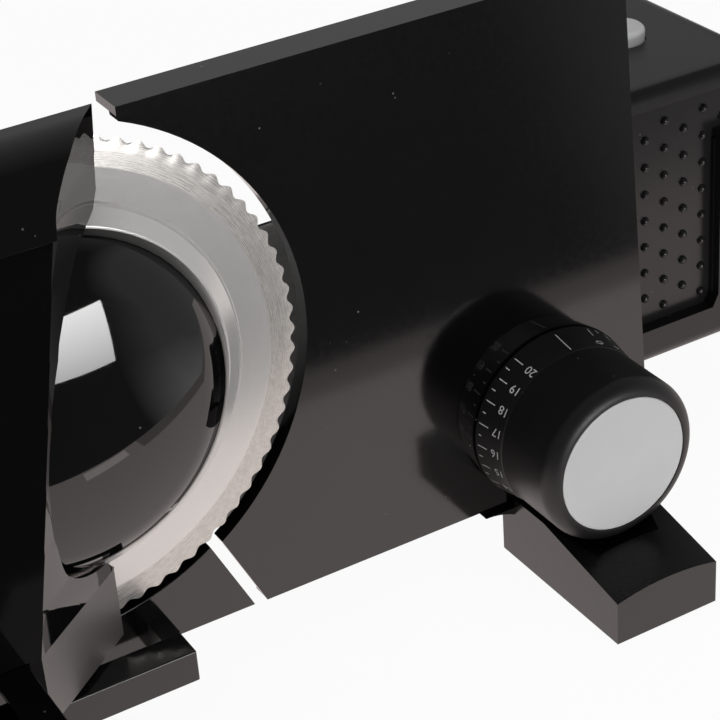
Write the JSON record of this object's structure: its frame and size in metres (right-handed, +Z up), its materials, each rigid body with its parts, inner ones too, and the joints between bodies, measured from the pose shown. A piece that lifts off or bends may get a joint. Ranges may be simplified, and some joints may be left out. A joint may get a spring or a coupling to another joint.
{
  "type": "electric food slicer",
  "caption": "Household electric food slicer: scalloped disc blade with domed hub, gauge plate set by a dial, sliding carriage with hand guard, motor housing on feet.",
  "frame": {"origin": "middle of the part's outline, on the surface that it stands on", "axes": "+X along the gauge plate, from the carriage's end to the motor's end; +Y away from the operator; +Z up"},
  "size_m": [0.458, 0.24, 0.2195],
  "materials": {
    "blade_steel": "brushed, ground bevel",
    "ring_steel": "polished",
    "gloss_black": "high gloss",
    "plate_black": "high gloss enamel",
    "satin_black": "satin",
    "house_black": "satin moulding",
    "cap_silver": "fine satin",
    "rubber": "matte",
    "bronze": "sintered",
    "shaft_steel": "turned",
    "gear_plastic": "moulded",
    "winding": "wound copper",
    "motor_steel": "zinc plated",
    "rail_alloy": "black anodised",
    "screw_black": "blackened"
  },
  "bodies": {
    "frame": {"housing": "house_black", "rear_cover": "house_black", "cover_screws": "screw_black", "cable_inlet": "satin_black", "front_plate": "plate_black", "right_foot": "satin_black", "left_foot": "satin_black", "rear_feet": "satin_black", "foot_pads": "rubber", "rail": "rail_alloy", "rail_brackets": "satin_black", "shaft_bushes": "bronze", "guide_bushes": "bronze", "spindle_nut": "bronze", "motor_can": "motor_steel", "motor_cradle": "satin_black", "worm_bearing": "satin_black", "switch_bracket": "satin_black", "microswitches": "satin_black", "start_spring": "shaft_steel", "lock_spring": "shaft_steel"},
    "blade": {"blade_disc": "blade_steel", "hub_ring": "ring_steel", "dome_cover": "gloss_black", "blade_shaft": "shaft_steel", "blade_screws": "shaft_steel", "worm_wheel": "gear_plastic"},
    "rotor": {"motor_shaft": "shaft_steel", "worm": "bronze", "armature": "winding", "cooling_fan": "gear_plastic"},
    "plate": {"gauge_plate": "plate_black", "guide_rods": "shaft_steel"},
    "knob": {"scale_ring": "satin_black", "knob_grip": "satin_black", "knob_cap": "cap_silver", "spindle": "shaft_steel"},
    "carriage": {"carriage_tray": "gloss_black", "runner_bushes": "gear_plastic"},
    "guard": {"hand_guard": "gloss_black"},
    "start": {"start_button": "cap_silver"},
    "lock": {"lock_button": "satin_black"}
  },
  "joints": [
    {"name": "blade_spin", "type": "hinge", "parent": "frame", "child": "blade", "pos_m": [-0.079, -0.01, 0.128], "axis": [0, 1, 0], "continuous": true},
    {"name": "motor_spin", "type": "hinge", "parent": "frame", "child": "rotor", "pos_m": [-0.079, 0.065, 0.1049], "axis": [1, 0, 0], "continuous": true},
    {"name": "plate_slide", "type": "slide", "parent": "frame", "child": "plate", "axis": [0, 1, 0], "range_m": [0, 0.02]},
    {"name": "knob_turn", "type": "hinge", "parent": "plate", "child": "knob", "pos_m": [0.104, -0.01, 0.0555], "axis": [0, -1, 0], "range_deg": [0, 330]},
    {"name": "carriage_slide", "type": "slide", "parent": "frame", "child": "carriage", "axis": [1, 0, 0], "range_m": [0, 0.12]},
    {"name": "guard_slide", "type": "slide", "parent": "carriage", "child": "guard", "axis": [0, -1, 0], "range_m": [0, 0.07]},
    {"name": "start_press", "type": "slide", "parent": "frame", "child": "start", "axis": [0, 0, -1], "range_m": [0, 0.003], "stiffness_N_per_m": 600, "springref_m": -0.002, "deforming": ["start_spring"]},
    {"name": "lock_press", "type": "slide", "parent": "frame", "child": "lock", "axis": [0, 0, -1], "range_m": [0, 0.003], "stiffness_N_per_m": 600, "springref_m": -0.002, "deforming": ["lock_spring"]}
  ],
  "couplings": [
    {"joint": "motor_spin", "follows": "blade_spin", "ratio": -24},
    {"joint": "plate_slide", "follows": "knob_turn", "m_per_rad": 0.003472}
  ]
}
